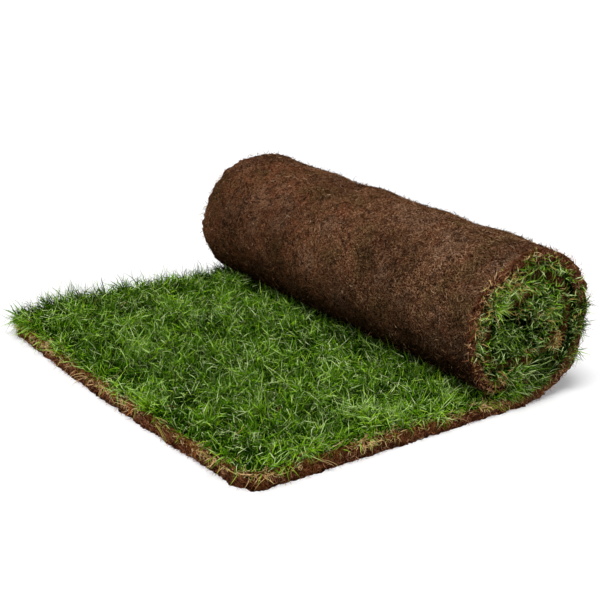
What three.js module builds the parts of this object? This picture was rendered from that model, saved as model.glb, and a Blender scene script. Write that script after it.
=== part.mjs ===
// A roll of turf, partly unrolled: one strip of lawn with its soil, laid out flat at the free end
// and wound up with the soil outside at the other. Millimetres. +X runs along the roll, +Y from the
// free end to the roll, +Z up. The strip is made flat, as it grew, and every point of it is then
// taken to its place on the ground or on the winding.
import * as THREE from "three";
import { mergeVertices } from "three/addons/utils/BufferGeometryUtils.js";
import { ImprovedNoise } from "three/addons/math/ImprovedNoise.js";

// Driving dimensions
const stripWidth = 610;
const stripLength = 1640;
const laidOutLength = 433; // free end to the line where the strip leaves the ground
const soilThickness = 15; // roots and soil
const lawnHeight = 18; // body of the standing grass, above the soil
const pressedHeight = 18; // grass that the roll stands on
const packedHeight = 9.5; // grass wound in between two turns
const crushedHeight = 7; // the same grass under the weight at the bottom of the roll
const slump = 13; // how far the roll has sagged forward, out over the laid-out lawn
const slumpDirection = 295; // degrees along the winding: low on the front of the roll
const flankRounding = 8; // between the flat underside of a turn and its sides
const coreRadius = 28; // soil face of the innermost turn
const boreRadius = 7; // hollow left in the grass at the core
const clearance = 0.4; // between the soil and the grass

const cornerRadius = 30; // corners of the free end, seen from above
const endBow = 9.5; // how far the middle of the free end stands out past its corners
const endSkew = 4.5; // and how much further back one of those corners lies than that, the other less
const sideDrift = 4; // how far the turns wander sideways as they are wound
const driftSpacing = 170; // length of strip between one bulge of that drift and the next
const sideSpread = 10; // grass leaning out past the cut edges of the soil
const edgeDroop = 8; // how much lower the lawn is along its edges
const tuftRelief = 5;
const tuftSpacing = 52;
const cornerRise = 9; // how much higher the lawn stands around one corner of the free end
const cornerReach = 150;
const swell = 2.5; // unevenness of the roll's outer face, in waves of this width and length
const swellWidth = 130;
const swellLength = 105;

// How finely the strip is divided
const flatStep = 30;
const stepsPerTurn = 32;
const soilColumns = 14; // between the two corner bands of the strip
const grassColumns = 8;
const measuresPerStep = 5; // for measuring the winding's length

const fullTurn = 2 * Math.PI;
const stepAngle = fullTurn / stepsPerTurn;
const driftStart = fullTurn / 4; // the winding runs true up to here, then wanders
const coreFill = fullTurn / 6; // past the strip's inner end, the grass closes in to the bore over this
const turnPitch = soilThickness + packedHeight + 2 * clearance;
const halfWidth = stripWidth / 2;
const noise = new ImprovedNoise();
const { smoothstep, lerp, clamp, degToRad } = THREE.MathUtils;

// The winding. Angles start where the strip leaves the ground and go up the back of the roll, over
// its top and down its front. The soil's outer face follows a spiral that loses one pitch a turn.
// The roll has slumped forward, and each turn is flat where it lies on the grass below it.
function slumpAt(angle) {
  if (angle < fullTurn / 4) return 0;
  return slump * ((1 + Math.cos(angle - degToRad(slumpDirection))) / 2) ** 2;
}

// Height of a turn's underside at the bottom of the roll, from the first turn that lies on the lawn
function restHeight(pass) {
  const layer = soilThickness + 2 * clearance;
  return layer + pressedHeight + (pass - 1) * (layer + crushedHeight);
}

// The lesser of two radii, with the corner between them rounded off
function roundedMin(a, b) {
  const share = clamp(0.5 + (b - a) / (2 * flankRounding), 0, 1);
  return lerp(b, a, share) - flankRounding * share * (1 - share);
}

// Length of the strip between two angles of the winding, along the middle of its soil
function lengthBetween(radiusAt, from, to) {
  const steps = Math.ceil(((to - from) / stepAngle) * measuresPerStep);
  const step = (to - from) / steps;
  let length = 0;
  for (let i = 0; i < steps; i++) {
    const [near, far] = [i, i + 1].map((n) => radiusAt(from + n * step) - soilThickness / 2);
    length += Math.hypot(far - near, ((near + far) / 2) * step);
  }
  return length;
}

function wind(outerRadius) {
  const radiusAt = (angle) => {
    const free = outerRadius - (turnPitch * angle) / fullTurn + slumpAt(angle);
    const pass = Math.round(angle / fullTurn);
    const down = Math.cos(angle);
    if (pass === 0 || down <= 0) return free;
    return roundedMin(free, (outerRadius - restHeight(pass)) / down);
  };
  const endAngle = (fullTurn * (outerRadius - soilThickness - coreRadius)) / turnPitch;
  return { outerRadius, radiusAt, endAngle, length: lengthBetween(radiusAt, 0, endAngle) };
}

// The roll is as large as the rest of the strip makes it.
function windWhole(length) {
  let low = soilThickness + coreRadius;
  let high = low + length;
  while (high - low > 1e-6) {
    const middle = (low + high) / 2;
    if (wind(middle).length < length) low = middle;
    else high = middle;
  }
  return wind(low);
}

const winding = windWhole(stripLength - laidOutLength);

function onWinding(angle, radius) {
  return [radius * Math.sin(angle), winding.outerRadius - radius * Math.cos(angle)];
}

// Stations along the strip: band is 1 at the free end and 0 past the corner radius, along is the
// distance from the free end, and above is the angle of the turn that lies over the lawn there.
function makeStations() {
  const underRoll = [];
  for (let i = stepsPerTurn / 4; i >= 0; i--) {
    const above = fullTurn - i * stepAngle;
    const [y] = onWinding(above, winding.radiusAt(above));
    const along = laidOutLength + y;
    while (underRoll.length > 0 && underRoll.at(-1).along >= along) underRoll.pop();
    underRoll.push({ band: 0, along, angle: 0, above });
  }
  const open = underRoll[0].along;
  const flatSteps = Math.ceil((open - cornerRadius) / flatStep);
  const stations = [1, 0.5].map((band) => ({ band, along: cornerRadius * (1 - band), angle: 0 }));
  for (let i = 0; i < flatSteps; i++) {
    stations.push({ band: 0, along: lerp(cornerRadius, open, i / flatSteps), angle: 0 });
  }
  stations.push(...underRoll);
  let along = laidOutLength;
  for (let i = 1; stations.at(-1).angle < winding.endAngle; i++) {
    const last = stations.at(-1).angle;
    const angle = Math.min(i * stepAngle, winding.endAngle);
    along += lengthBetween(winding.radiusAt, last, angle);
    stations.push({ band: 0, along, angle });
  }
  return { stations, open };
}

// Columns across the strip: band is 1 on a side edge and 0 inside the corner radius.
function makeColumns(inner) {
  const edge = halfWidth - cornerRadius;
  const columns = [];
  for (let i = 0; i <= inner; i++) columns.push({ band: 0, across: lerp(-edge, edge, i / inner) });
  const side = (sign, band) => ({ band, across: sign * edge });
  return [side(-1, 1), side(-1, 0.5), ...columns, side(1, 0.5), side(1, 1)];
}

const { stations, open: openLength } = makeStations();

// Plan of the strip: its outline grown by spread, with round corners and a bowed free end. A square
// corner of the grid is drawn in to a quarter disc.
function planPoint(column, station, spread) {
  const radius = cornerRadius + spread;
  const u = column.band * Math.sqrt(1 - station.band ** 2 / 2);
  const v = station.band * Math.sqrt(1 - column.band ** 2 / 2);
  const across = column.across + Math.sign(column.across) * u * radius;
  const along = station.band > 0 ? cornerRadius - v * radius : station.along;
  const remaining = Math.max(0, 1 - station.along / openLength);
  const share = across / halfWidth;
  const bow = (endBow * share ** 2 + endSkew * share) * remaining ** 2;
  const wound = Math.min(1, station.angle / driftStart);
  const drift = sideDrift * wound * noise.noise(station.along / driftSpacing, 0.5, 0.5);
  return { x: across + drift, along: along + bow };
}

// From the flat strip to the finished roll: height is measured from the soil's underside.
function place(plan, station, height) {
  if (station.angle === 0) return [plan.x, plan.along - laidOutLength, height];
  return [plan.x, ...onWinding(station.angle, winding.radiusAt(station.angle) - height)];
}

// A closed slab of columns by stations by layers, each corner of its grid put in place by a rule.
function slab(columns, layers, put) {
  const size = [columns.length - 1, stations.length - 1, layers - 1];
  const geometry = new THREE.BoxGeometry(...size, ...size);
  geometry.deleteAttribute("normal");
  geometry.deleteAttribute("uv");
  const merged = mergeVertices(geometry);
  const position = merged.getAttribute("position");
  for (let i = 0; i < position.count; i++) {
    const [column, station, layer] = size.map((n, axis) =>
      Math.round(position.getComponent(i, axis) + n / 2),
    );
    position.setXYZ(i, ...put(columns[column], stations[station], layer));
  }
  merged.computeVertexNormals();
  return merged;
}

// How far the roll's outer face swells out. It dies down where the roll meets the ground and the lawn.
function swellAt(x, station) {
  const turns = station.angle / fullTurn;
  const shown = smoothstep(turns, 0.03, 0.12) * (1 - smoothstep(turns, 0.78, 0.86));
  const u = (fullTurn * x) / swellWidth;
  const v = (fullTurn * station.along) / swellLength;
  return swell * shown * Math.sin(u + 0.5 * Math.sin(v / 2)) * Math.cos(v + 0.5 * Math.sin(u / 2));
}

// Roots and soil: an even sheet, cut square at its edges.
function soilGeometry() {
  return slab(makeColumns(soilColumns), 2, (column, station, layer) => {
    const plan = planPoint(column, station, 0);
    return place(plan, station, layer === 0 ? -swellAt(plan.x, station) : soilThickness);
  });
}

// Room for the grass above the soil of the winding: up to the next turn, and past the strip's
// inner end to the bore.
function packedTop(angle) {
  const gap = winding.radiusAt(angle) - winding.radiusAt(angle + fullTurn) - clearance;
  const pastEnd = angle + fullTurn - winding.endAngle - stepAngle;
  const closing = smoothstep(pastEnd, 0, coreFill);
  return lerp(gap, winding.radiusAt(angle) - boreRadius, closing);
}

// Height of the lawn on the ground: tufted, lower along its edges and higher around one corner, and
// under the roll no higher than the turn that stands on it.
function lawnTop(column, station) {
  const tufts = tuftRelief * noise.noise(column.across / tuftSpacing, station.along / tuftSpacing, 0.3);
  const edge = Math.max(column.band, station.band);
  const fromCorner = Math.hypot(column.across + halfWidth, station.along);
  const rise = cornerRise * (1 - smoothstep(fromCorner, 0, cornerReach));
  const free = soilThickness + clearance + lawnHeight + tufts + rise - edgeDroop * edge ** 2;
  if (station.above === undefined) return free;
  const [, turnUnderside] = onWinding(station.above, winding.radiusAt(station.above));
  return Math.min(free, turnUnderside - clearance);
}

// The grass: a layer that stands on the ground part and is wound in between the turns. Its middle
// layer leans out past the soil's edges.
function grassGeometry() {
  const spreads = [-clearance, sideSpread, sideSpread / 3];
  return slab(makeColumns(grassColumns), spreads.length, (column, station, layer) => {
    const plan = planPoint(column, station, spreads[layer]);
    const bottom = soilThickness + clearance;
    const top = station.angle === 0 ? lawnTop(column, station) : packedTop(station.angle);
    return place(plan, station, lerp(bottom, top, layer / (spreads.length - 1)));
  });
}

const soilMaterial = new THREE.MeshStandardMaterial({ color: 0x4a3426, roughness: 1, metalness: 0 });
const grassMaterial = new THREE.MeshStandardMaterial({ color: 0x4f8a2a, roughness: 0.75, metalness: 0 });

const soilMat = new THREE.Mesh(soilGeometry(), soilMaterial);
soilMat.name = "soil_mat";
const grassSward = new THREE.Mesh(grassGeometry(), grassMaterial);
grassSward.name = "grass_sward";

// The origin is on the ground, under the middle of the roll and its laid-out part.
const turfRoll = new THREE.Group();
turfRoll.add(soilMat, grassSward);
const middle = new THREE.Box3().setFromObject(turfRoll).getCenter(new THREE.Vector3());
turfRoll.position.set(-middle.x, -middle.y, 0);

export default turfRoll;
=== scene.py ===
import math

import bmesh
import bpy
import numpy as np
from mathutils import Matrix, Vector, noise


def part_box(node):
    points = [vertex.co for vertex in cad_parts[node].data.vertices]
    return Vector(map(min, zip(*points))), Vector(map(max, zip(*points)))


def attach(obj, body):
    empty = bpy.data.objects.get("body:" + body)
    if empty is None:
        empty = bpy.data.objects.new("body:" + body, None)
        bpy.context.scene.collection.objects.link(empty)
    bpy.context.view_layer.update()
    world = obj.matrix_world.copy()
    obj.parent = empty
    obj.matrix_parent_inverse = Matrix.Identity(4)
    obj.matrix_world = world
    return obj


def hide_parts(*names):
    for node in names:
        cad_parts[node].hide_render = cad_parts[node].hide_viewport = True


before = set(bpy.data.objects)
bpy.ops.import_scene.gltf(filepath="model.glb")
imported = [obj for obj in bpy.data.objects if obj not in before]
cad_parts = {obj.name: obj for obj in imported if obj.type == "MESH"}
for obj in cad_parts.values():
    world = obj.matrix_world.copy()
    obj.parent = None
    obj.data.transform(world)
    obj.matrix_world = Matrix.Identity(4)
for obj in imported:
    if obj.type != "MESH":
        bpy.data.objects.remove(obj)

fullTurn = 2 * math.pi
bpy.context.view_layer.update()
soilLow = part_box("soil_mat")[0]

# The strip of turf, in metres. It lies on the ground from its free end and is wound up from there.
strip = {"width": 0.610, "laidOut": 0.433, "outer": 0.11017, "soil": 0.015, "pressed": 0.018,
         "packed": 0.0095, "crushed": 0.007, "core": 0.028, "bore": 0.007, "gap": 0.0004,
         "nearCorner": 0.030, "farCorner": 0.016, "bow": 0.0095, "skew": 0.0045, "drift": 0.002,
         "slump": 0.013, "slumpAngle": math.radians(295), "flankRounding": 0.008,
         "swell": 0.0025, "swellWidth": 0.130, "swellLength": 0.105}
laidOut, outerRadius, thickness = strip["laidOut"], strip["outer"], strip["soil"]
pitch = thickness + strip["packed"] + 2 * strip["gap"]
halfWidth = strip["width"] / 2
endDip = strip["skew"] ** 2 / (4 * strip["bow"])  # how far the bowed end passes the strip's nominal end
contactY = soilLow.y + laidOut + endDip  # where the strip leaves the ground


def paint(red, green, blue):  # from 0 to 255 on a screen, to linear light
    shares = [c / 255 for c in (red, green, blue)]
    return tuple(c / 12.92 if c < 0.04045 else ((c + 0.055) / 1.055) ** 2.4 for c in shares)


def smooth(value, low, high):  # 0 at low, 1 at high
    share = np.clip((value - low) / (high - low), 0, 1)
    return share * share * (3 - 2 * share)


def fade(value, reach):  # 1 at zero, 0 at the reach
    return np.clip(1 - value / reach, 0, 1)


def vectors(x, y, z):
    return np.stack(np.broadcast_arrays(x, y, z), axis=-1)


# Camera, light and floor
view = {"place": (1.381446, contactY - 1.12215, 0.690833), "turn": 54.449, "tilt": 19.759, "roll": 0.475,
        "lens": 78.37, "sensor": 36}
light = {"sky": 0.28, "sun": 2.76, "softness": 30, "towards": (0.25, -0.26, 0.933), "floor": 0.80,
         "floorGlow": 0.22, "floorSize": 30}

scene = bpy.context.scene
scene.view_settings.view_transform = "Standard"


def addObject(name, data):
    made = bpy.data.objects.new(name, data)
    scene.collection.objects.link(made)
    return made


camera = addObject("camera", bpy.data.cameras.new("camera"))
camera.data.lens = view["lens"]
camera.data.sensor_width = view["sensor"]
camera.matrix_world = (
    Matrix.Translation(view["place"])
    @ Matrix.Rotation(math.radians(view["turn"]), 4, "Z")
    @ Matrix.Rotation(math.radians(90 - view["tilt"]), 4, "X")
    @ Matrix.Rotation(math.radians(view["roll"]), 4, "Z")
)
scene.camera = camera

sun = addObject("sun", bpy.data.lights.new("sun", "SUN"))
sun.data.energy = light["sun"]
sun.data.angle = math.radians(light["softness"])
sun.rotation_euler = Vector(light["towards"]).to_track_quat("Z", "Y").to_euler()


# Node trees. A Wire is a node's output, and arithmetic on wires adds the nodes for it. The colours
# of ramps and blends go from 0 to 255.
class Wire:
    def __init__(self, graph, socket):
        self.graph, self.socket = graph, socket

    def __getitem__(self, name):
        return Wire(self.graph, liveSocket(self.socket.node.outputs, name))

    def __add__(self, other):
        return self.graph.combine("ADD", self, other)

    def __radd__(self, other):
        return self.graph.combine("ADD", other, self)

    def __sub__(self, other):
        return self.graph.combine("SUBTRACT", self, other)

    def __rsub__(self, other):
        return self.graph.combine("SUBTRACT", other, self)

    def __mul__(self, other):
        return self.graph.combine("MULTIPLY", self, other)

    def __rmul__(self, other):
        return self.graph.combine("MULTIPLY", other, self)

    def __truediv__(self, other):
        return self.graph.combine("DIVIDE", self, other)


def liveSocket(sockets, name):
    if isinstance(name, int):
        return [s for s in sockets if s.enabled][name]
    return next(s for s in sockets if s.name == name and s.enabled)


class Graph:
    def __init__(self, tree):
        self.tree = tree

    def node(self, kind, settings=None, inputs=None, output=0):
        made = self.tree.nodes.new(kind)
        for name, value in (settings or {}).items():
            if name == "stops":
                self.setStops(made.color_ramp.elements, value)
            else:
                setattr(made, name, value)
        for name, value in (inputs or {}).items():
            socket = liveSocket(made.inputs, name)
            if isinstance(value, Wire):
                self.tree.links.new(value.socket, socket)
            else:
                socket.default_value = value
        return Wire(self, liveSocket(made.outputs, output)) if made.outputs else made

    def setStops(self, elements, stops):  # each stop is a place and a colour
        while len(elements) < len(stops):
            elements.new(1.0)
        for element, (position, *colour) in zip(elements, stops):
            element.position = position
            element.color = (*paint(*colour), 1.0)

    def combine(self, operation, a, b):
        areVectors = [x.socket.type == "VECTOR" if isinstance(x, Wire) else isinstance(x, tuple)
                      for x in (a, b)]
        if not any(areVectors):
            return self.maths(operation, a, b)
        if all(areVectors):
            return self.vector(operation, a, b)
        vector, factor = (a, b) if areVectors[0] else (b, a)
        inputs = {"Vector": vector, "Scale": factor}
        return self.node("ShaderNodeVectorMath", {"operation": "SCALE"}, inputs)

    def maths(self, operation, *values):
        return self.node("ShaderNodeMath", {"operation": operation}, dict(enumerate(values)))

    def vector(self, operation, *values):
        output = "Value" if operation == "DOT_PRODUCT" else "Vector"
        return self.node("ShaderNodeVectorMath", {"operation": operation}, dict(enumerate(values)), output)

    def noise(self, where, scale, detail=2.0, roughness=0.5, distortion=0.0):
        inputs = {"Vector": where, "Scale": scale, "Detail": detail, "Roughness": roughness,
                  "Distortion": distortion}
        return self.node("ShaderNodeTexNoise", {"noise_dimensions": "3D"}, inputs)

    def ramp(self, factor, stops):
        return self.node("ShaderNodeValToRGB", {"stops": stops}, {"Fac": factor})

    def clamped(self, value, low, high):  # 0 at low, 1 at high
        inputs = {"Value": value, "From Min": low, "From Max": high}
        return self.node("ShaderNodeMapRange", {"interpolation_type": "SMOOTHSTEP"}, inputs)

    def blend(self, factor, a, b, how="MIX"):
        a, b = ((*paint(*c), 1.0) if isinstance(c, tuple) else c for c in (a, b))
        settings = {"data_type": "RGBA", "blend_type": how}
        return self.node("ShaderNodeMix", settings, {"Factor": factor, "A": a, "B": b}, "Result")

    def patch(self, under, over, field, low, high, strength):  # the second colour where the field is high
        return self.blend(self.clamped(field, low, high) * strength, under, over)

    def split(self, vector):
        return self.node("ShaderNodeSeparateXYZ", inputs={"Vector": vector})

    def join(self, **parts):
        return self.node("ShaderNodeCombineXYZ", inputs=parts)

    def attribute(self, name):
        return self.node("ShaderNodeAttribute", {"attribute_name": name}, output="Fac")

    def seen(self):  # 1 to the camera and in reflections, 0 for the light that falls on things
        rays = self.node("ShaderNodeLightPath", output="Is Camera Ray")
        return self.maths("MINIMUM", rays + rays["Is Glossy Ray"] + rays["Is Transmission Ray"], 1.0)


def newMaterial(name):
    material = bpy.data.materials.new(name)
    material.use_nodes = True
    material.node_tree.nodes.clear()
    return material, Graph(material.node_tree)


def finishMaterial(graph, shader):
    graph.node("ShaderNodeOutputMaterial", inputs={"Surface": shader})


def finishMatte(graph, colour, roughness, **more):
    inputs = {"Base Color": colour, "Roughness": roughness, "Specular IOR Level": 0.0, **more}
    finishMaterial(graph, graph.node("ShaderNodeBsdfPrincipled", inputs=inputs))


# The world and the floor look brighter than the light that they give.
world = bpy.data.worlds.new("studio")
world.use_nodes = True
world.node_tree.nodes.clear()
scene.world = world
sky = Graph(world.node_tree)
backdrop = sky.node("ShaderNodeBackground", inputs={
    "Color": (1.0, 1.0, 1.0, 1.0), "Strength": light["sky"] + sky.seen() * (1 - light["sky"]),
})
sky.node("ShaderNodeOutputWorld", inputs={"Surface": backdrop})

floorMaterial, graph = newMaterial("studioFloor")
matte = graph.node("ShaderNodeBsdfDiffuse", inputs={"Color": (light["floor"],) * 3 + (1.0,)})
glow = graph.node("ShaderNodeEmission", inputs={
    "Color": (0.97, 0.97, 1.0, 1.0), "Strength": graph.seen() * light["floorGlow"],
})
finishMaterial(graph, graph.node("ShaderNodeAddShader", inputs={0: matte, 1: glow}))
floorMesh = bpy.data.meshes.new("floor")
reach = light["floorSize"] / 2
corners = [(-reach, -reach, 0), (reach, -reach, 0), (reach, reach, 0), (-reach, reach, 0)]
floorMesh.from_pydata(corners, [], [(0, 1, 2, 3)])
floorMesh.materials.append(floorMaterial)
floor = addObject("floor", floorMesh)
print("stage, camera and light are set")


# The winding: a spiral that has slumped forward and is flat where it lies on the grass below it
def slumpAt(angle):
    share = (1 + np.cos(angle - strip["slumpAngle"])) / 2
    return np.where(angle < fullTurn / 4, 0, strip["slump"] * share ** 2)


endAngle = fullTurn * (outerRadius - thickness - strip["core"]) / pitch


def undersideRadius(angle):
    free = outerRadius - pitch * angle / fullTurn + slumpAt(angle)
    turn = np.round(angle / fullTurn)
    down = np.cos(angle)
    layer = thickness + 2 * strip["gap"]
    rest = layer + strip["pressed"] + (turn - 1) * (layer + strip["crushed"])
    flat = (outerRadius - rest) / np.maximum(down, 1e-6)
    share = np.clip(0.5 + (flat - free) / (2 * strip["flankRounding"]), 0, 1)
    rounded = flat + (free - flat) * share - strip["flankRounding"] * share * (1 - share)
    return np.where((turn > 0) & (down > 0), rounded, free)


windAngles = np.linspace(0, endAngle, 4000)
middleRadius = undersideRadius(windAngles) - thickness / 2
steps = np.hypot(np.diff(middleRadius), (middleRadius[1:] + middleRadius[:-1]) / 2 * np.diff(windAngles))
arcs = np.concatenate([[0], np.cumsum(steps)])
stripLength = laidOut + arcs[-1]
openLength = laidOut - undersideRadius(0.75 * fullTurn)  # lawn that no turn lies over


def angleAt(along):
    return np.interp(along - laidOut, arcs, windAngles)


def alongAt(angle):
    return laidOut + np.interp(angle, windAngles, arcs)


# How far the roll's outer face swells out. It dies down where the roll meets the ground and the lawn.
def swellAt(x, along):
    turns = angleAt(along) / fullTurn
    shown = smooth(turns, 0.03, 0.12) * (1 - smooth(turns, 0.78, 0.86))
    u = fullTurn * x / strip["swellWidth"]
    v = fullTurn * along / strip["swellLength"]
    return strip["swell"] * shown * np.sin(u + 0.5 * np.sin(v / 2)) * np.cos(v + 0.5 * np.sin(u / 2))


# From a point of the flat strip to its place on the ground or on the roll. Height is measured from
# the soil's underside.
def place(across, along, height):
    across, along, height = (np.asarray(a, float) for a in np.broadcast_arrays(across, along, height))
    corner = np.where(across > 0, strip["nearCorner"], strip["farCorner"])
    edge = halfWidth - corner
    sideBand = np.clip((np.abs(across) - edge) / corner, 0, None)
    endBand = np.clip((corner - along) / corner, 0, None)
    outX = sideBand * np.sqrt(1 - np.minimum(endBand, 1) ** 2 / 2)
    outY = endBand * np.sqrt(1 - np.minimum(sideBand, 1) ** 2 / 2)
    x = np.where(sideBand > 0, np.sign(across) * (edge + outX * corner), across)
    run = np.where(endBand > 0, corner * (1 - outY), along)
    bow = strip["bow"] * (x / halfWidth) ** 2 + strip["skew"] * x / halfWidth
    run = run + bow * np.clip(1 - along / openLength, 0, 1) ** 2
    angle = angleAt(along)
    wound = np.clip(angle / (fullTurn / 4), 0, 1)
    x = x + strip["drift"] * wound * np.sin(along * 37 + 1.3) * np.cos(along * 11)
    radius = undersideRadius(angle) - height
    flat = along <= laidOut
    y = np.where(flat, run - laidOut, radius * np.sin(angle))
    z = np.where(flat, height, outerRadius - radius * np.cos(angle))
    return vectors(x, y + contactY, z)


# Soil and roots: the whole strip as one closed sheet, finely divided where it shows.
soil = {"cell": 0.0122, "fineCuts": 3, "lawnCuts": 1, "rimBulge": 0.007, "rimWidth": 0.030,
        "lumpScale": 60.0, "lumpDepth": 0.0044, "grainScale": 190.0, "grainDepth": 0.0034,
        "ragScale": 45.0, "ragDepth": 0.0240, "torn": 0.010, "cutSide": 0.002, "foot": 0.006,
        "recess": 0.005, "recessWidth": 0.003}


def makeSheet(cell):  # the flat strip as a closed sheet, as thick as the soil
    across = np.linspace(-halfWidth, halfWidth, round(strip["width"] / cell) + 1)
    along = np.linspace(0, stripLength, round(stripLength / cell) + 1)
    mesh = bmesh.new()
    lower, upper = [
        {(r, c): mesh.verts.new((x, y, z)) for r, y in enumerate(along) for c, x in enumerate(across)}
        for z in (0, thickness)
    ]
    lastRow, lastColumn = len(along) - 1, len(across) - 1

    def addWall(a, b):
        mesh.faces.new((lower[a], upper[a], upper[b], lower[b]))

    for r in range(lastRow):
        for c in range(lastColumn):
            ring = ((r, c), (r + 1, c), (r + 1, c + 1), (r, c + 1))
            mesh.faces.new([lower[spot] for spot in ring])
            mesh.faces.new([upper[spot] for spot in (ring[0], ring[3], ring[2], ring[1])])
        addWall((r, 0), (r + 1, 0))
        addWall((r + 1, lastColumn), (r, lastColumn))
    for c in range(lastColumn):
        addWall((0, c + 1), (0, c))
        addWall((lastRow, c), (lastRow, c + 1))
    return mesh


def keepMesh(name, mesh):
    data = bpy.data.meshes.new(name)
    mesh.to_mesh(data)
    mesh.free()
    return data


def makeSoilMesh():
    mesh = makeSheet(soil["cell"])
    outerEnd = alongAt(1.04 * fullTurn)
    middle = [(face, face.calc_center_median()) for face in mesh.faces]
    nearly = thickness / 100
    wallOrOuter = [face for face, m in middle
                   if nearly < m.z < thickness - nearly or (m.z < nearly and laidOut <= m.y <= outerEnd)]
    underLawn = [face for face, m in middle if m.z > thickness - nearly and m.y < laidOut]
    for faces, cuts in ((wallOrOuter, soil["fineCuts"]), (underLawn, soil["lawnCuts"])):
        edges = list({edge for face in faces if face.is_valid for edge in face.edges})
        bmesh.ops.subdivide_edges(mesh, edges=edges, cuts=cuts, use_grid_fill=True)
    return keepMesh("turfSoil", mesh)


def readNumbers(collection, name, kind=np.int32, size=1):
    values = np.zeros(len(collection) * size, kind)
    collection.foreach_get(name, values)
    return values


def readVectors(collection, name):
    return readNumbers(collection, name, np.float32, 3).reshape(-1, 3).astype(float)


def writeAttribute(mesh, name, values):
    values = np.asarray(values, np.float32)
    kind, field = ("FLOAT_VECTOR", "vector") if values.ndim > 1 else ("FLOAT", "value")
    mesh.attributes.new(name, kind, "POINT").data.foreach_set(field, values.ravel())


# Each face of the flat strip gets its own panel of the map, so the bake has room for the grain.
def layOutMap(mesh, flat):
    normals = readVectors(mesh.polygons, "normal")
    ways = np.abs(normals).argmax(axis=1) * 2 + (normals.sum(axis=1) > 0)
    facing = np.repeat(ways, readNumbers(mesh.polygons, "loop_total"))
    x, y, z = flat[readNumbers(mesh.loops, "vertex_index")].T
    panels = {  # by the way that the face looks: where it starts, and what runs across and up it
        4: (0.004, x + halfWidth, y), 5: (0.628, x + halfWidth, y),
        0: (1.260, z, y), 1: (1.290, z, y), 2: (1.320, z, x + halfWidth), 3: (1.350, z, x + halfWidth),
    }
    across, up = np.zeros(len(x)), np.zeros(len(x))
    for way, (start, a, b) in panels.items():
        across = np.where(facing == way, start + a, across)
        up = np.where(facing == way, b, up)
    uvs = np.stack([across, up + 0.004], axis=1) / (stripLength + 0.01)
    mesh.uv_layers.new(name="OFBake").data.foreach_set("uv", uvs.astype(np.float32).ravel())


def settle(mesh, placed):  # takes the flat sheet's points to their places
    mesh.vertices.foreach_set("co", placed.astype(np.float32).ravel())
    mesh.polygons.foreach_set("use_smooth", np.ones(len(mesh.polygons), bool))
    print(mesh.name, "has", len(mesh.vertices), "points")


soilMesh = makeSoilMesh()
flat = readVectors(soilMesh.vertices, "co")
layOutMap(soilMesh, flat)
x, y, z = flat.T
share = z / thickness
onGround = y <= laidOut
fromSide = halfWidth - np.abs(x)
fromEdge = np.minimum(fromSide, y)
rim = fade(fromEdge, soil["rimWidth"])
bulge = soil["rimBulge"] * rim ** 2 * share * np.clip((laidOut - 0.1 - y) / 0.15, 0, 1)
turns = angleAt(y) / fullTurn
inner = np.clip((turns - 0.95) / 0.1, 0, 1) * fade(fromSide, soil["recessWidth"])
placed = place(x - np.sign(x) * soil["recess"] * inner, y, z + bulge - (1 - share) * swellAt(x, y))
frayed = 1 + 0.6 * (x < 0) * ~onGround  # the far end of the roll is the more torn one
sideways = np.sign(x) * fade(fromSide, soil["torn"]) * frayed
outward = vectors(sideways, -fade(y, soil["torn"]), 0)
relief = np.clip((placed[:, 2] - 0.001) / soil["foot"], 0, 1)  # none where it stands on the ground
writeAttribute(soilMesh, "relief", relief)
writeAttribute(soilMesh, "outward", outward)
writeAttribute(soilMesh, "thatch", share * np.where(onGround, 1, 0.6) * np.clip(rim * 3 - 1.5, 0, 1))
# Painted shade on the soil under the lawn and between the turns, less on their cut sides.
underLawn = share * onGround * np.clip((fromEdge - 0.005) / 0.006, 0, 1)
wall = fade(fromEdge, soil["cutSide"])
betweenTurns = (np.clip((turns - 0.85) / 0.1, 0, 1) + share * ~onGround) * (1 - 0.7 * wall)
writeAttribute(soilMesh, "shaded", np.clip(underLawn + betweenTurns, 0, 1))
writeAttribute(soilMesh, "wall", wall)
# Painted shade on the roll's lower front, where it bends down to the lawn, and low on the laid-out cut
# sides.
towardsNear = smooth(x, 0.05, 0.30)
nook = (1 - share) * smooth(turns, 0.74 - 0.06 * towardsNear, 0.89 - 0.05 * towardsNear)
nook = nook * (1 - smooth(turns, 1.1, 1.2))
writeAttribute(soilMesh, "nook", np.maximum(nook, 0.55 * wall * onGround * (1 - share)))
settle(soilMesh, placed)


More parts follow.
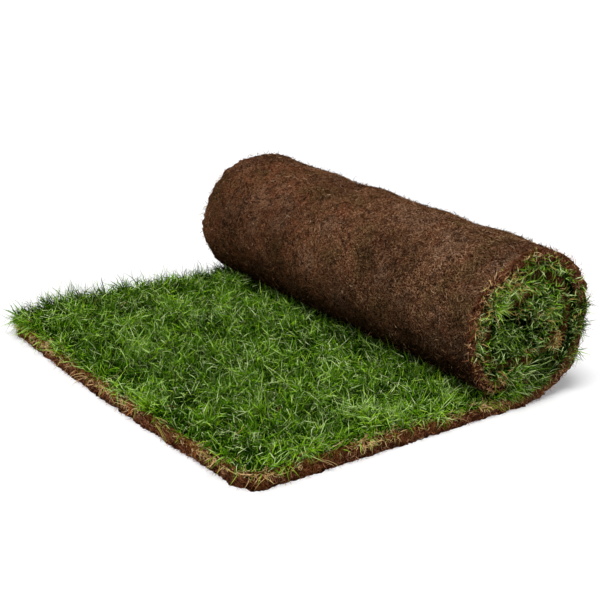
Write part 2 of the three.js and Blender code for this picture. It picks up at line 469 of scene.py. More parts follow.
# A geometry tree whose sizes are named inputs of its modifier. A range has two, its low and high end.
class ShapeTree(Graph):
    def __init__(self, name, counts, sizes, ranges):
        super().__init__(bpy.data.node_groups.new(name, "GeometryNodeTree"))
        ends = [size + end for size in ranges for end in ("Low", "High")]
        inputs = {"Geometry": "Geometry", **dict.fromkeys(counts, "Int"),
                  **dict.fromkeys((*sizes, *ends), "Float"), "material": "Material"}
        face = self.tree.interface
        face.new_socket("Geometry", in_out="OUTPUT", socket_type="NodeSocketGeometry")
        for label, kind in inputs.items():
            face.new_socket(label, in_out="INPUT", socket_type="NodeSocket" + kind)
        self.given = self.node("NodeGroupInput")
        self.end = self.node("NodeGroupOutput")

    def change(self, kind, geometry, **inputs):
        return self.node("GeometryNode" + kind, inputs={"Geometry": geometry, **inputs})

    def finish(self, geometry):
        real = self.change("RealizeInstances", geometry)
        dressed = self.change("SetMaterial", real, Material=self.given["material"])
        self.tree.links.new(dressed.socket, self.end.inputs[0])
        return self.tree

    def named(self, name, kind="FLOAT"):
        settings = {"data_type": kind}
        return self.node("GeometryNodeInputNamedAttribute", settings, {"Name": name}, "Attribute")

    def store(self, geometry, kind, name, value, domain="POINT"):
        settings = {"data_type": kind, "domain": domain}
        inputs = {"Geometry": geometry, "Name": name, "Value": value}
        return self.node("GeometryNodeStoreNamedAttribute", settings, inputs)

    def random(self, low, high, seed):
        kind = "FLOAT_VECTOR" if isinstance(low, tuple) else "FLOAT"
        inputs = {"Min": low, "Max": high, "Seed": seed}
        return self.node("FunctionNodeRandomValue", {"data_type": kind}, inputs, "Value")

    def between(self, size, seed):  # a random value from a range
        return self.random(self.given[size + "Low"], self.given[size + "High"], seed)

    def scatter(self, density, seed):
        inputs = {"Mesh": self.given["Geometry"], "Density": density, "Seed": seed}
        settings = {"distribute_method": "RANDOM"}
        return self.node("GeometryNodeDistributePointsOnFaces", settings, inputs, "Points")


# What a carrier says at each point, where nothing else is given
growth = {"thick": 1.0, "tall": 1.0, "lean": (0.0, 0.0, 0.0), "tone": 0.0, "dry": 1.0}


# Runs a tree on a carrier and keeps the result as a plain mesh, with one material
def shape(carrier, tree, name, material, sizes):
    modifier = carrier.modifiers.new(name, "NODES")
    modifier.node_group = tree
    values = {"material": material}
    for size, value in sizes.items():
        isRange = isinstance(value, tuple)
        values.update({size + "Low": value[0], size + "High": value[1]} if isRange else {size: value})
    for item in tree.interface.items_tree:
        if item.in_out == "INPUT" and item.name in values:
            modifier[item.identifier] = values[item.name]
    graph = bpy.context.evaluated_depsgraph_get()
    mesh = bpy.data.meshes.new_from_object(carrier.evaluated_get(graph), depsgraph=graph)
    bpy.data.objects.remove(carrier)
    mesh.name = name
    mesh.materials.clear()
    mesh.materials.append(material)
    mesh.polygons.foreach_set("material_index", np.zeros(len(mesh.polygons), np.int32))
    for leftover in (*growth, "relief", "outward", "id"):
        if leftover in mesh.attributes:
            mesh.attributes.remove(mesh.attributes[leftover])
    print(name, "has", sum(len(p.vertices) - 2 for p in mesh.polygons), "triangles")
    return addObject(name, mesh)


# Lumps and grain on the soil's faces, and torn edges.
def makeSoilTree():
    sizes = ("lumpScale", "lumpDepth", "grainScale", "grainDepth", "ragScale", "ragDepth")
    tree = ShapeTree("roughenSoil", (), sizes, ())
    given = tree.given
    here = tree.node("GeometryNodeInputPosition")
    lumps = (tree.noise(here, given["lumpScale"], 3.0, 0.55) - 0.5) * given["lumpDepth"]
    grain = (tree.noise(here, given["grainScale"], 2.0) - 0.5) * given["grainDepth"]
    rag = (tree.noise(here, given["ragScale"], 4.0, 0.8) - 0.5) * given["ragDepth"]
    normal = tree.node("GeometryNodeInputNormal")
    push = normal * ((lumps + grain) * tree.named("relief"))
    move = push + tree.named("outward", "FLOAT_VECTOR") * rag
    return tree.finish(tree.change("SetPosition", given["Geometry"], Offset=move))


# A hue is a place on a material's ramp of kinds.
# The pale hues are blades that stand for painted highlights. The withered hues are dry grass.
specialHues = {"pale": (0.757, 0.803), "withered": (0.86, 0.97)}


# One tree grows all that is long and thin: grass, straw and root fibres. The carrier's attributes say
# how thickly it grows (thick), how tall (tall), which way it leans (lean), how light its colour is
# (tone) and how many blades have withered (dry).
def makeBladeTree():
    sizes = ("perSquareMetre", "flatness", "flatCurl", "stand", "spread", "sink", "hueTop", "hueSkew",
             "paleShare", "dryShare")
    tree = ShapeTree("growBlades", ("seed", "pieces"), sizes, ("length", "width", "bend", "hue"))
    given = tree.given
    seed = given["seed"]
    points = tree.scatter(given["perSquareMetre"] * tree.named("thick"), seed)
    normal = points["Normal"]
    stray = tree.random((-1.0, -1.0, -1.0), (1.0, 1.0, 1.0), seed)
    stray = stray - normal * tree.vector("DOT_PRODUCT", stray, normal)
    lean = tree.named("lean", "FLOAT_VECTOR")
    up = tree.vector("NORMALIZE", normal * given["stand"] + lean + stray * given["spread"])
    turn = tree.random((-1.0, -1.0, -1.0), (1.0, 1.0, 1.0), seed + 1)
    turn = turn - normal * (tree.vector("DOT_PRODUCT", turn, normal) * given["flatCurl"])
    side = tree.vector("NORMALIZE", tree.vector("CROSS_PRODUCT", up, turn))
    wilting = given["dryShare"] * tree.named("dry")
    dry = tree.maths("LESS_THAN", tree.random(0.0, 1.0, seed + 6), wilting)
    # A share of the blades gets a pale hue as a painted highlight.
    pale = tree.maths("LESS_THAN", tree.random(0.0, 1.0, seed + 8), given["paleShare"])
    green = tree.maths("POWER", tree.random(0.0, 1.0, seed + 5), given["hueSkew"])
    green = given["hueLow"] + (given["hueHigh"] - given["hueLow"]) * green + tree.named("tone")
    green = tree.maths("MAXIMUM", tree.maths("MINIMUM", green, given["hueTop"]), 0.03)
    green = green + pale * (tree.random(*specialHues["pale"], seed + 9) - green)
    withered = tree.random(*specialHues["withered"], seed + 7)
    facts = {
        "root": tree.node("GeometryNodeInputPosition") - up * given["sink"],
        "up": up,
        "side": side,
        "length": tree.between("length", seed + 2) * tree.named("tall"),
        "width": tree.between("width", seed + 3),
        "bend": tree.between("bend", seed + 4),
        "hue": green + dry * (withered - green),
    }
    kinds = {name: "FLOAT_VECTOR" if wire.socket.type == "VECTOR" else "FLOAT"
             for name, wire in facts.items()}
    for name, wire in facts.items():
        points = tree.store(points, kinds[name], name, wire)
    points = tree.change("SetPosition", points, Position=(0.0, 0.0, 0.0))
    # Every blade starts as the same slim cone, one unit long, and is then bent and put in its place.
    cone = tree.node("GeometryNodeMeshCone", {"fill_type": "NGON"}, {
        "Vertices": 3, "Side Segments": given["pieces"], "Radius Top": 0.0, "Radius Bottom": 0.5,
        "Depth": 1.0,
    })
    blades = tree.node("GeometryNodeInstanceOnPoints", inputs={"Points": points, "Instance": cone})
    blades = tree.change("RealizeInstances", blades)
    local = tree.split(tree.node("GeometryNodeInputPosition"))
    rise = local["Z"]
    fact = {name: tree.named(name, kinds[name]) for name in facts}
    belly = (0.55 + 2.85 * rise) * fact["width"]  # undoes the cone's taper except near its tip
    across = local["X"] * belly
    deep = local["Y"] * belly * given["flatness"]
    curl = fact["bend"] * rise
    cosine, sine = tree.maths("COSINE", curl), tree.maths("SINE", curl)
    bow = fact["length"] / fact["bend"]
    forward = bow * (1.0 - cosine) + deep * cosine
    height = bow * sine - deep * sine
    heading = tree.vector("CROSS_PRODUCT", fact["up"], fact["side"])
    shade = tree.join(X=fact["hue"] + 0.02 * local["X"], Y=0.02 + 0.95 * rise + 0.02 * local["Y"])
    blades = tree.store(blades, "FLOAT2", "OFBake", shade, "CORNER")
    grown = fact["root"] + fact["side"] * across + heading * forward + fact["up"] * height
    below = 0.0005 + 0.2 * deep - tree.split(grown)["Z"]
    lift = tree.join(Z=tree.maths("MAXIMUM", 0.0, below))  # nothing goes below the ground
    blades = tree.change("SetPosition", blades, Position=grown + lift)
    for name in facts:
        blades = tree.change("RemoveAttribute", blades, Name=name)
    return tree.finish(blades)


# Loose crumbs of soil that cling to the roots.
def makeCrumbTree():
    tree = ShapeTree("scatterCrumbs", ("seed",), ("perSquareMetre",), ("size",))
    given = tree.given
    seed = given["seed"]
    points = tree.scatter(given["perSquareMetre"] * tree.named("thick"), seed)
    points = tree.store(points, "FLOAT", "hue", tree.random(0.05, 0.9, seed + 1))
    crumb = tree.node("GeometryNodeMeshIcoSphere", inputs={"Radius": 0.5, "Subdivisions": 1})
    crumbs = tree.node("GeometryNodeInstanceOnPoints", inputs={
        "Points": points, "Instance": crumb, "Scale": tree.between("size", seed + 2) * (1.0, 0.8, 0.65),
        "Rotation": tree.random((0.0, 0.0, 0.0), (6.28, 6.28, 6.28), seed + 3),
    })
    crumbs = tree.change("RealizeInstances", crumbs)
    speck = tree.random(0.0, 0.08, 0)
    shade = tree.join(X=tree.named("hue") + speck, Y=speck * 9.0)
    crumbs = tree.store(crumbs, "FLOAT2", "OFBake", shade, "CORNER")
    return tree.finish(tree.change("RemoveAttribute", crumbs, Name="hue"))


# Finishes
def makeSoilMaterial():
    material, graph = newMaterial("soilAndRoots")
    here = graph.node("ShaderNodeTexCoord", output="Object")
    across = graph.split(here)["X"]
    blotch = graph.noise(here, 17.0, 3.0, 0.6)
    warm = graph.noise(here + (3.1, 1.7, 0.4), 24.0, 3.0, 0.6)
    grain = graph.vector("MULTIPLY", here, (0.8, 1.0, 1.0))  # drawn out a little along the roll
    felt = graph.noise(grain, 580.0, 3.0, 0.62, 1.2)
    clods = graph.noise(here + (6.3, 1.1, 3.7), 120.0, 2.0, 0.6, 0.8)
    felt = 0.480 + (felt - 0.49) * (1.13 + 1.7 * across)  # coarser towards the near end
    felt = felt + (clods - 0.5) * (0.17 + 0.36 * across)
    pit = graph.noise(grain + (0.7, 5.2, 2.3), 280.0, 3.0, 0.7, 1.4)
    brown = graph.ramp(felt, [
        (0.36, 17, 6, 2), (0.45, 70, 38, 21), (0.54, 122, 77, 51), (0.64, 184, 138, 103),
        (0.74, 232, 198, 164),
    ])
    grey = graph.ramp(felt, [
        (0.39, 28, 15, 8), (0.47, 96, 65, 48), (0.56, 148, 111, 88), (0.70, 208, 176, 148),
    ])
    olive = graph.ramp(felt, [
        (0.39, 17, 9, 2), (0.47, 68, 48, 24), (0.56, 108, 82, 47), (0.70, 182, 152, 106),
    ])
    rust = graph.ramp(felt, [
        (0.39, 24, 6, 1), (0.47, 84, 40, 23), (0.56, 134, 76, 51), (0.70, 200, 146, 113),
    ])
    colour = graph.patch(brown, grey, blotch, 0.50, 0.62, 0.75)
    colour = graph.patch(colour, olive, 1.0 - blotch, 0.52, 0.64, 0.75)
    colour = graph.patch(colour, rust, warm, 0.52, 0.66, 0.75)
    # Painted shade in the pits between the lumps.
    colour = graph.patch(colour, (20, 9, 3), pit, 0.52, 0.66, 0.80)
    # Short cracks, darkened with painted shade, and thin light hairs lie where a smooth field passes
    # through its middle.
    vein = graph.maths("ABSOLUTE", graph.noise(here, 34.0, 2.0, 0.5, 1.2) - 0.5)
    strokes = graph.noise(here + (1.9, 7.7, 0.8), 62.0, 2.0, 0.5)
    torn = graph.clamped(0.075 - vein, 0.0, 0.075) * graph.clamped(strokes, 0.49, 0.57)
    colour = graph.blend(torn * 0.78, colour, (26, 10, 4))
    long = graph.noise(grain, 150.0, 2.0, 0.5, 1.6)
    short = graph.noise(grain + (4.4, 0.2, 1.9), 210.0, 2.0, 0.5, 2.0)
    hair = graph.maths("MINIMUM", *[graph.maths("ABSOLUTE", field - 0.5) for field in (long, short)])
    colour = graph.patch(colour, (184, 144, 110), 0.020 - hair, 0.0, 0.020, 0.60)
    # Large darker patches, more of them towards the far end of the roll.
    big = graph.noise(here + (2.0, 8.1, 5.5), 12.0, 2.0, 0.6)
    colour = graph.patch(colour, (24, 13, 7), big - 0.10 * across, 0.44, 0.62, 0.36)
    colour = graph.blend(1.0, colour, (255, 249, 244), "MULTIPLY")
    # Painted shade on the roll's lower front, where it meets the lawn, and low on the cut sides.
    nook = graph.attribute("nook")
    colour = graph.blend(nook * 0.84, colour, (9, 5, 3))
    # The cut sides show more roots, and redder soil.
    roots = graph.noise(here + (1.3, 2.9, 6.1), 430.0, 4.0, 0.72, 2.2)
    roots = roots + 0.55 * (graph.noise(here + (0.2, 4.9, 3.1), 170.0, 2.0, 0.6, 1.0) - 0.5)
    cut = graph.ramp(roots, [
        (0.38, 34, 14, 6), (0.47, 86, 46, 28), (0.56, 124, 76, 51), (0.66, 172, 122, 88),
        (0.78, 208, 172, 134),
    ])
    redCut = graph.ramp(roots, [(0.38, 44, 18, 6), (0.50, 116, 64, 30), (0.66, 190, 130, 72)])
    cut = graph.patch(cut, redCut, warm, 0.50, 0.60, 0.7)
    # Painted shade in the pits of the cut sides, and low on them.
    cut = graph.patch(cut, (34, 16, 8), pit, 0.54, 0.66, 0.60)
    cut = graph.blend(nook * 0.90, cut, (20, 10, 5))
    colour = graph.blend(graph.attribute("wall"), colour, cut)
    # Yellow thatch at the rims, and painted shade on the soil under the grass and between the turns.
    edge = graph.attribute("thatch") + (blotch - 0.5) * 0.9 + (roots - 0.5) * 1.2
    thatch = graph.ramp(roots, [
        (0.38, 44, 24, 8), (0.50, 112, 70, 34), (0.62, 166, 122, 62), (0.76, 208, 172, 104),
    ])
    colour = graph.patch(colour, thatch, edge, 0.55, 1.05, 0.75)
    deep = graph.blend(graph.clamped(warm, 0.50, 0.62), (10, 18, 2), (56, 36, 18))
    colour = graph.blend(graph.attribute("shaded") * 0.92, colour, deep)
    bump = graph.node("ShaderNodeBump", inputs={
        "Strength": 1.0, "Distance": 0.0028, "Height": felt * 0.8 - pit - torn * 1.2,
    })
    finishMatte(graph, colour, 0.95, Normal=bump)
    return material


def makeBedMaterial():
    material, graph = newMaterial("swardBed")
    strands = graph.noise(graph.node("ShaderNodeTexCoord", output="Object"), 330.0, 4.0, 0.65, 1.6)
    colour = graph.ramp(strands, [
        (0.38, 4, 14, 1), (0.50, 22, 46, 2), (0.60, 50, 88, 6), (0.74, 92, 134, 26),
    ])
    # Painted shade in the bed's hollows and between the turns.
    colour = graph.blend(graph.attribute("shaded") * 0.8, colour, (4, 10, 1))
    bump = graph.node("ShaderNodeBump", inputs={"Strength": 1.0, "Distance": 0.003, "Height": strands})
    finishMatte(graph, colour, 0.95, Normal=bump)
    return material


# Grass, straw and fibres take their colour from where they are on their map: one side to the other is the
# kind of blade, and bottom to top is root to tip. Towards the root the colour goes to the root colour,
# which in the grass is painted shade deep in the sward, and towards the tip it is lightened as a painted
# highlight.
def makeBladeMaterial(name, kinds, rootColourAndShade, rootReach, tipHighlight, roughness):
    material, graph = newMaterial(name)
    spot = graph.split(graph.node("ShaderNodeUVMap", {"uv_map": "OFBake"}))
    body, rise = graph.ramp(spot["X"], kinds), spot["Y"]
    rooted = graph.blend(graph.clamped(rise, 0.02, rootReach), rootColourAndShade, body)
    tipHighlighted = graph.blend(graph.clamped(rise, 0.55, 1.0) * tipHighlight, rooted, (200, 218, 116))
    finishMatte(graph, tipHighlighted, roughness)
    return material


soilMaterial, bedMaterial = makeSoilMaterial(), makeBedMaterial()
# In the grass the pale stops at 0.76 and 0.80 are painted highlights, and the near-black root colour is
# painted shade deep in the sward.
grassMaterial = makeBladeMaterial("grassBlades", [
    (0.00, 8, 36, 1), (0.22, 42, 94, 3), (0.45, 97, 157, 11), (0.62, 154, 207, 33), (0.73, 194, 232, 84),
    (0.76, 186, 228, 116), (0.80, 224, 244, 178), (0.86, 236, 208, 150), (0.92, 216, 170, 106),
    (1.00, 134, 80, 40),
], (5, 20, 0), 0.78, 0.25, 0.5)
strawMaterial = makeBladeMaterial("yellowStraw", [
    (0.00, 116, 146, 34), (0.24, 172, 160, 80), (0.46, 222, 186, 130), (0.72, 234, 200, 150),
    (0.90, 196, 132, 80), (1.00, 150, 88, 48),
], (126, 92, 48), 0.30, 0.10, 0.6)
fibreMaterial = makeBladeMaterial("rootFibres", [
    (0.00, 26, 13, 5), (0.35, 70, 41, 22), (0.65, 112, 76, 50), (0.90, 164, 126, 94), (1.00, 206, 172, 136),
], (58, 34, 20), 0.4, 0.0, 0.8)
rootMaterial = makeBladeMaterial("redRoots", [
    (0.00, 40, 18, 9), (0.35, 98, 52, 32), (0.65, 146, 88, 60), (0.90, 190, 130, 92), (1.00, 222, 178, 134),
], (70, 36, 22), 0.4, 0.0, 0.8)
crumbMaterial = makeBladeMaterial("soilCrumbs", [
    (0.00, 30, 16, 8), (0.50, 76, 48, 29), (1.00, 124, 90, 64),
], (46, 28, 16), 0.6, 0.0, 0.95)
soilTree, bladeTree, crumbTree = makeSoilTree(), makeBladeTree(), makeCrumbTree()

turfSoil = shape(addObject("soilSheet", soilMesh), soilTree, "turfSoil", soilMaterial, soil)


# A carrier is an open sheet of points that something grows from. It isn't kept.
def makeCarrier(points, attributes, flip):
    rows, columns = points.shape[:2]
    corner = np.arange((rows - 1) * columns).reshape(rows - 1, columns)[:, :-1].ravel()
    faces = np.stack([corner, corner + 1, corner + columns + 1, corner + columns], axis=1)
    if flip:
        faces = faces[:, ::-1]
    mesh = bpy.data.meshes.new("carrier")
    mesh.from_pydata(points.reshape(-1, 3).tolist(), [], faces.tolist())
    for name, plain in growth.items():
        isVector = isinstance(plain, tuple)
        values = np.broadcast_to(attributes.get(name, plain), points.shape if isVector else (rows, columns))
        writeAttribute(mesh, name, values.reshape(-1, 3) if isVector else values.ravel())
    return addObject("carrier", mesh)


def grow(name, points, attributes, material, sizes, flip=False):
    return shape(makeCarrier(points, attributes, flip), bladeTree, name, material, sizes)


def wander(points, scale, shift=0.0):  # smooth noise from -1 to 1 at each point
    flatPoints = (points * scale + shift).reshape(-1, 3)
    values = [noise.noise(Vector(point)) for point in flatPoints]
    return np.array(values).reshape(points.shape[:-1])


overAngles = np.linspace(0.76 * fullTurn, 1.2 * fullTurn, 400)
overRadius = undersideRadius(overAngles)


def roomUnderRoll(y):  # from the soil up to the turn that lies over the lawn there
    turnY = contactY + overRadius * np.sin(overAngles)
    turnZ = outerRadius - overRadius * np.cos(overAngles)
    return np.interp(y, turnY, turnZ, left=1.0) - thickness


def packedTop(angle):  # up to the next turn, and to the bore past the strip's inner end
    inside = undersideRadius(angle) - undersideRadius(angle + fullTurn)
    closing = np.clip((angle + fullTurn - endAngle) / 0.8, 0, 1)
    return inside + (undersideRadius(angle) - strip["bore"] - inside) * closing


# The dense lower part of the grass: a bed that the blades stand out of, wound in between the turns.
bed = {"height": 0.012, "relief": 0.008, "cell": 0.0112, "inset": 0.004, "woundInset": 0.007,
       "rim": 0.009, "rooted": 0.002, "lawnGap": 0.0015, "turnGap": 0.0005}


def clumpsAt(points):
    return wander(points, 42.0) + 0.6 * wander(points, 95.0, 7.3)


def bedHeight(x, y):  # above the soil of the lawn
    points = place(x, y, thickness)
    rim = np.sqrt(np.clip(np.minimum(halfWidth - np.abs(x), y) / bed["rim"], 0, 1))
    free = (bed["height"] + bed["relief"] * clumpsAt(points)) * rim
    return np.minimum(free, roomUnderRoll(points[..., 1]) - bed["lawnGap"])


def makeBed():
    mesh = keepMesh("swardBed", makeSheet(bed["cell"]))
    flat = readVectors(mesh.vertices, "co")
    layOutMap(mesh, flat)
    x, y, z = flat.T
    angle = angleAt(y)
    top = np.where(y <= laidOut, bedHeight(x, y), packedTop(angle) - thickness - bed["turnGap"])
    height = thickness + np.where(z > 0, top, -bed["rooted"])
    inset = np.where(angle > 0, bed["woundInset"], bed["inset"])
    placed = place(x * (1 - inset / halfWidth), bed["inset"] + y * (1 - bed["inset"] / stripLength), height)
    # Painted shade in the hollows between clumps, and on the wound part between the turns.
    hollowShade = np.clip(0.2 - 1.2 * clumpsAt(place(x, y, thickness)), 0, 0.8)
    writeAttribute(mesh, "shaded", np.where(angle > 0, np.clip(angle / 0.4, 0, 1), hollowShade))
    settle(mesh, placed)
    mesh.materials.append(bedMaterial)
    return addObject("swardBed", mesh)


swardBed = makeBed()

# The lawn, in rows from the free end to the roll: long blades over a mat of short ones.
lawn = {"perSquareMetre": 106000.0, "length": (0.014, 0.038), "width": (0.0007, 0.0015), "flatness": 0.3,
        "bend": (0.8, 3.4), "flatCurl": 0.0, "stand": 0.85, "spread": 0.90, "sink": 0.003,
        "hue": (0.02, 0.66), "hueTop": 0.76, "hueSkew": 1.9, "paleShare": 0.165, "dryShare": 0.002,
        "pieces": 2}
mat = {**lawn, "perSquareMetre": 70000.0, "length": (0.010, 0.024), "width": (0.0007, 0.0020),
       "hue": (0.02, 0.46), "hueTop": 0.62, "paleShare": 0.02}
lawnRows = {"Front": (0.003, 0.135), "Middle": (0.135, 0.265), "Back": (0.265, 0.452)}
form = {"nearRim": 0.030, "farRim": 0.028, "endRim": 0.026, "lowRoom": 0.060, "noRoom": 0.020,
        "cornerReach": 0.085, "hangWidth": 0.016, "columns": 62, "rows": 22}


def growLawn(name, start, stop, sizes):
    across = np.linspace(-halfWidth + 0.003, halfWidth - 0.002, form["columns"])
    x, y = np.meshgrid(across, np.linspace(start, stop, form["rows"]))
    points = place(x, y, thickness + bedHeight(x, y))
    room = roomUnderRoll(points[..., 1])
    fromNear, fromFar = halfWidth - x, halfWidth + x
    clumps = clumpsAt(points)
    swirl = [wander(points, 28.0, shift) + 0.9 * wander(points, 75.0, shift + 3) for shift in (11.0, 23.0)]
    nearRim, farRim = fade(fromNear, form["nearRim"]), fade(fromFar, form["farRim"])
    endRim = fade(y, form["endRim"])
    covered = np.clip((form["lowRoom"] - room) / 0.03, 0, 1)
    # At the far corner the grass hangs out over the soil.
    corner = smooth(form["cornerReach"] - np.hypot(fromFar, y), 0, 0.06)
    hang = fade(y, form["hangWidth"]) * np.clip(1.2 - fromFar / 0.22, 0, 1)
    sway = np.maximum(1.5 * swirl[0] + 0.15 * nearRim, -0.15 - fromFar / 0.03) - 0.8 * corner
    forward = 1.5 * swirl[1] + 0.5 * nearRim - 0.35 * endRim - 0.5 * covered - 1.1 * corner - 2.4 * hang
    farSide = fade(fromFar, 0.10) * (0.18 + 0.46 * np.clip((0.16 - y) / 0.03, 0, 1) + 0.3 * clumps)
    rims = np.maximum(nearRim, endRim * (1 - farSide))
    # Next to the roll the grass is only as tall as there is room for, and deep under it none grows.
    tallest = 1.6 - farRim * (0.08 + 0.12 * smooth(y, 0.08, 0.16))
    tall = np.clip(0.98 + 0.34 * clumps + farSide - 0.20 * rims, 0.4, tallest)
    leastRoom = np.where(np.minimum(fromNear, fromFar) < 0.02, 0.8, 0.4)
    hidden = (room < form["noRoom"]) & (fromNear > 0.035) & (fromFar > 0.035)
    crowd = 1 + hang + 0.5 * farRim + 0.5 * nearRim * smooth(room, 0.02, 0.12) + 0.6 * corner
    tone = 0.16 * wander(points, 18.0, 3.1) + 0.62 * clumps + 0.38 * rims - 0.15 * farRim
    lightPatch = 0.10 * smooth(y, 0.10, 0.20) * (1 - smooth(fromNear, 0.09, 0.17))
    return grow(name, points, {
        "thick": np.clip(1 + 1.3 * clumps, 0.15, 2.2) * np.where(hidden, 0.02, 1) * crowd,
        "tall": tall * np.clip(room / 0.030, leastRoom, 1) * (1 - 0.30 * corner ** 3),
        "lean": vectors(sway, forward, -0.30 * corner - 1.2 * hang),
        "tone": tone + 0.04 * smooth(fromNear, 0.12, 0.30) + lightPatch,
    }, grassMaterial, sizes)


lawnPieces = []
for number, (row, reach) in enumerate(lawnRows.items()):
    lawnPieces.append(growLawn("lawn" + row, *reach, {**lawn, "seed": 11 + number}))
    lawnPieces.append(growLawn("mat" + row, *reach, {**mat, "seed": 21 + number}))

# Broader dark blades stand out along the lawn's far edge.
farTufts = {**lawn, "seed": 19, "perSquareMetre": 95000.0, "length": (0.012, 0.034),
            "width": (0.0011, 0.0020), "bend": (0.8, 2.6), "spread": 0.8, "hue": (0.14, 0.54),
            "hueTop": 0.60, "paleShare": 0.02, "pieces": 3}
x, y = np.meshgrid(np.linspace(0.003, 0.030, 4) - halfWidth, np.linspace(0.004, laidOut - 0.02, 120))
points = place(x, y, thickness + bedHeight(x, y))
clumps = clumpsAt(points)
lawnPieces.append(grow("farTufts", points, {
    "thick": np.clip(0.8 + 2.2 * clumps, 0.08, 3), "tall": np.clip(0.95 + 0.8 * clumps, 0.5, 1.5),
    "lean": vectors(0.1, 0.8 * wander(points, 28.0, 23.0), 0.3), "tone": 0.2 * clumps,
}, grassMaterial, farTufts))

# Grass at the two ends of the roll, squeezed out between the turns. How much of the soil's edge is
# bare, from none to all of it, goes by how many turns the strip has been wound.
rollEnd = {**lawn, "perSquareMetre": 380000.0, "length": (0.009, 0.033), "width": (0.0008, 0.0015),
           "bend": (0.6, 3.0), "stand": 0.40, "spread": 0.75, "sink": 0.008, "hue": (-0.34, 0.68),
           "hueTop": 0.74, "hueSkew": 1.6, "paleShare": 0.20, "dryShare": 0.15}
bareSoil = {"turns": (0.00, 0.08, 0.11, 0.15, 0.28, 0.34, 0.40, 0.48, 0.56, 0.62, 0.76, 0.82, 0.90, 0.94,
                      1.05, 1.10, 1.14, 1.26, 1.32, 1.38, 1.48, 1.54, 1.68, 1.73, 1.82, 1.88, 1.98, 2.05,
                      2.12, 2.20, 2.28, 2.42, 2.48),
            "share": (0.85, 1.0, 0.8, 0.05, 0.05, 0.7, 0.9, 0.6, 0.7, 0.85, 0.7, 1.0, 0.9, 0.1,
                      0.1, 0.6, 1.0, 1.0, 0.5, 1.0, 1.0, 0.2, 0.2, 1.0, 0.8, 1.0, 1.0, 0.3,
                      1.0, 0.8, 0.4, 0.4, 1.0)}
deadPatch = {"back": 0.046, "height": 0.082, "radius": 0.016}  # withered grass, seen from the roll's middle


def growRollEnd(name, sign, seed):
    angle = np.linspace(-0.25, endAngle, 420)[:, None]
    share = np.linspace(0, 1, 7)[None, :]
    wound = np.maximum(angle, 0)
    turns = wound / fullTurn
    bare = np.interp(turns, bareSoil["turns"], bareSoil["share"])
    bareNext = np.interp(turns + 1, bareSoil["turns"], bareSoil["share"])
    bottom = thickness * bare
    up = bottom + (packedTop(wound) - bottom) * share
    radius = undersideRadius(wound) - up
    flatPart = angle < 0
    y = np.where(flatPart, angle * outerRadius, radius * np.sin(wound)) + contactY
    z = np.where(flatPart, up, outerRadius - radius * np.cos(wound))
    points = vectors(sign * (halfWidth - 0.002), y, z)
    inward = vectors(0, -np.sin(wound), np.cos(wound))
    tangent = vectors(0, np.cos(wound), np.sin(wound))
    low = np.clip(np.cos(wound) * 1.6 - 0.6, 0, 1) * (angle < 1.2 * fullTurn)
    # Blades hang out over the soil at the back. Behind them, in the gap, the grass is thinner and darkened
    # with painted shade.
    overhang = smooth(turns, 0.08, 0.13) * (1 - smooth(turns, 0.27, 0.34)) * (1 - share)
    gap = smooth(turns, 0.06, 0.14) * (1 - smooth(turns, 0.32, 0.42)) * share
    along = 2.2 * low + 1.6 * wander(points, 38.0, seed) * (1 - 0.7 * low) + 1.2 * gap
    clumps = wander(points, 50.0, seed + 5)
    stray = np.clip(wander(points, 80.0, seed + 3) - 0.1, 0, 1) * overhang
    near = np.maximum(bare, bareNext * (share > 0.5))
    fromPatch = np.hypot(y - contactY - deadPatch["back"], z - deadPatch["height"])
    dead = smooth(deadPatch["radius"] - fromPatch, 0, 0.4 * deadPatch["radius"])
    thick = np.clip(1 + 2.5 * clumps, 0.03, 2.8) * (1 + 0.4 * low) * (1 - 0.6 * gap) * (1 + overhang)
    tall = 1.05 - 0.45 * near + low * (0.75 * share - 0.15) + 1.8 * stray - 0.25 * overhang
    # Painted shade darkens the grass in the gap behind the overhanging blades.
    tone = 0.68 * clumps + 0.25 * wander(points, 35.0, seed + 9) - 0.45 * gap + 0.3 * overhang - 0.1 * low
    dry = np.clip(0.5 + 5.0 * wander(points, 34.0, seed + 2), 0, 4) * (1 - 0.8 * low) * (1 - gap)
    # The grass at the far end is shorter and half as thick.
    height, crowd = (1.0, 1.0) if sign > 0 else (0.6, 0.5)
    return grow(name, points, {
        "thick": thick + 2 * dead,
        "lean": inward * (0.1 - 1.1 * overhang)[..., None] + tangent * along[..., None],
        "tall": tall * height,
        "tone": tone + 0.18 * smooth(z, 0.13, 0.18) - 0.06,
        "dry": dry + 5 * dead,
    }, grassMaterial, {**rollEnd, "seed": seed, "perSquareMetre": rollEnd["perSquareMetre"] * crowd},
        flip=sign > 0)


endPieces = [growRollEnd("endGrassRight", 1, 31), growRollEnd("endGrassLeft", -1, 41)]

# Along the cut edges: a fringe of yellow grass and straw at the rim, in tufts, and roots below it.
fringe = {"seed": 51, "perSquareMetre": 300000.0, "length": (0.005, 0.017), "width": (0.0006, 0.0012),
          "flatness": 0.5, "bend": (0.8, 4.0), "flatCurl": 0.5, "stand": 0.30, "spread": 0.9,
          "sink": 0.001, "hue": (0.12, 0.84), "hueTop": 0.98, "hueSkew": 1.0, "paleShare": 0.0,
          "dryShare": 0.0, "pieces": 3}
stems = {**fringe, "seed": 53, "perSquareMetre": 14000.0, "length": (0.014, 0.040),
         "width": (0.0009, 0.0014), "bend": (0.5, 2.0), "flatCurl": 0.0, "spread": 0.30,
         "hue": (0.12, 0.75), "pieces": 5}
rootlets = {**fringe, "seed": 55, "perSquareMetre": 190000.0, "length": (0.005, 0.015),
            "width": (0.0003, 0.0007), "stand": 0.22, "hue": (0.30, 0.98), "pieces": 2}


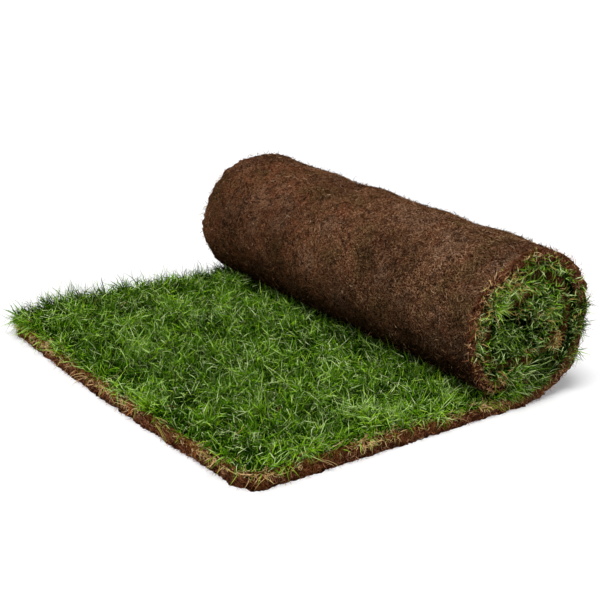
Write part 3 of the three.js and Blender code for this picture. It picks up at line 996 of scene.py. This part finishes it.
# Once round the cut edges, from one end of the roll to the other. The inset is how far in from the edge.
def followEdge(heights, insets):
    side = np.arange(0, alongAt(1.02 * fullTurn), 0.004)
    end = np.arange(-halfWidth, halfWidth, 0.004)
    across = np.concatenate([np.full(len(side), -halfWidth), end, np.full(len(side), halfWidth)])[:, None]
    along = np.concatenate([side[::-1], 0 * end, side])[:, None]
    wound = smooth(along, laidOut - 0.09, laidOut + 0.04)
    insets = insets * (1 - wound)
    heights = heights * (1 - wound) + np.linspace(0, 1, len(heights)) * wound
    outward = vectors(np.sign(across) * (along > 0), -1.0 * (along <= 0), 0)
    angle = angleAt(along)
    radial = vectors(0, np.sin(angle), -np.cos(angle)) * wound[..., None]
    across = np.clip(across, insets - halfWidth, halfWidth - insets)
    points = place(across, np.maximum(along, insets), heights * thickness)
    return points, outward, radial, wound, angle / fullTurn


heights, insets = np.array([0.9, 1.0, 1.1, 1.2, 1.3]), np.array([0, 0, 0.002, 0.006, 0.010])
points, outward, radial, wound, turns = followEdge(heights, insets)
tufts = 0.8 - 1.2 * wound + 2.4 * wander(points, 38.0, 5.0) + 0.9 * wander(points, 100.0)
golden = wander(points, 30.0, 5.0)
border = 0.15 + 0.85 * smooth(turns, 0.52, 0.60)  # the torn front border of the roll's ends
freeEnd = -outward[..., 1]
sparse = 1 - 1.6 * wound * (1 - wound) * (turns < 0.01)  # in the nook where the roll meets the lawn
edgeFringe = grow("edgeFringe", points, {
    "thick": np.clip(tufts, 0.04, 2.1) * (1 - wound * (1 - 0.7 * border))
             * (0.8 - 0.2 * freeEnd + 0.2 * wound) * sparse,
    "tone": 0.6 * golden - 0.05 - 0.08 * wound + 0.22 * freeEnd,
    "tall": 0.85 + 0.5 * np.clip(golden, 0, 1) - 0.05 * wound,
    "lean": outward * 0.6 + radial * 0.5 + (0.0, 0.0, 0.15),
}, strawMaterial, fringe, flip=True)
run = vectors(outward[..., 1], -outward[..., 0], 0)
way = np.sign(wander(points, 25.0, 9.0))[..., None]
edgeStems = grow("edgeStems", points, {
    "thick": np.clip(0.6 + 2.0 * wander(points, 30.0, 1.0), 0.05, 2) * (1 - wound), "tone": 0.4 * golden,
    "lean": outward * 0.05 + run * way * 1.8,
}, strawMaterial, stems, flip=True)
points, outward, radial, wound, turns = followEdge(np.linspace(0.05, 0.95, 5), np.zeros(5))
edgeRoots = grow("edgeRoots", points, {
    "thick": np.clip(1 + wander(points, 60.0), 0.2, 2) * (1 - 0.15 * wound),
    "tone": 0.3 * wander(points, 50.0, 2.0) + 0.12 * wound,
}, rootMaterial, rootlets, flip=True)
grassPieces = [swardBed, *lawnPieces, *endPieces]
pieces = {"soil": [turfSoil, edgeRoots], "grass": [*grassPieces, edgeFringe, edgeStems]}

# Root fibres and crumbs on the outside of the roll. The comb lays fibres along the roll.
fibres = {**rootlets, "comb": 0.7, "seed": 61, "perSquareMetre": 16000.0, "length": (0.004, 0.014),
          "width": (0.0004, 0.0008), "flatness": 0.8, "bend": (0.4, 2.8), "flatCurl": 0.95,
          "stand": 0.04, "spread": 1.0, "sink": 0.0004, "hue": (0.20, 1.0), "hueTop": 1.0, "hueSkew": 1.1}
fuzz = {**fibres, "comb": 0.0, "seed": 65, "perSquareMetre": 34000.0, "length": (0.003, 0.008),
        "width": (0.0007, 0.0012), "stand": 0.55, "spread": 0.8, "hue": (0.30, 0.85), "pieces": 1}
crumbs = {"comb": 0.0, "seed": 71, "perSquareMetre": 2200.0, "size": (0.0012, 0.0036)}


def coverRoll(name, tree, material, sizes):
    along = np.linspace(laidOut + 0.04, alongAt(1.03 * fullTurn), 120)
    y, x = np.meshgrid(along, np.linspace(-halfWidth, halfWidth, 60), indexing="ij")
    points = place(x, y, -swellAt(x, y))
    side = sizes["comb"] * np.sign(wander(points, 90.0, 9.0))
    carrier = makeCarrier(points, {
        "thick": 1 + 0.5 * wander(points, 50.0), "tone": 0.2 * wander(points, 24.0, 4.0),
        "lean": vectors(side, 0, 0),
    }, flip=True)
    pieces["soil"].append(shape(carrier, tree, name, material, sizes))


coverRoll("rootFibres", bladeTree, fibreMaterial, fibres)
coverRoll("rootFuzz", bladeTree, fibreMaterial, fuzz)
coverRoll("soilCrumbs", crumbTree, crumbMaterial, crumbs)

for slotName, members in pieces.items():
    for piece in members:
        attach(piece, "root")
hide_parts("soil_mat")
for piece in grassPieces:
    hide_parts("grass_sward")
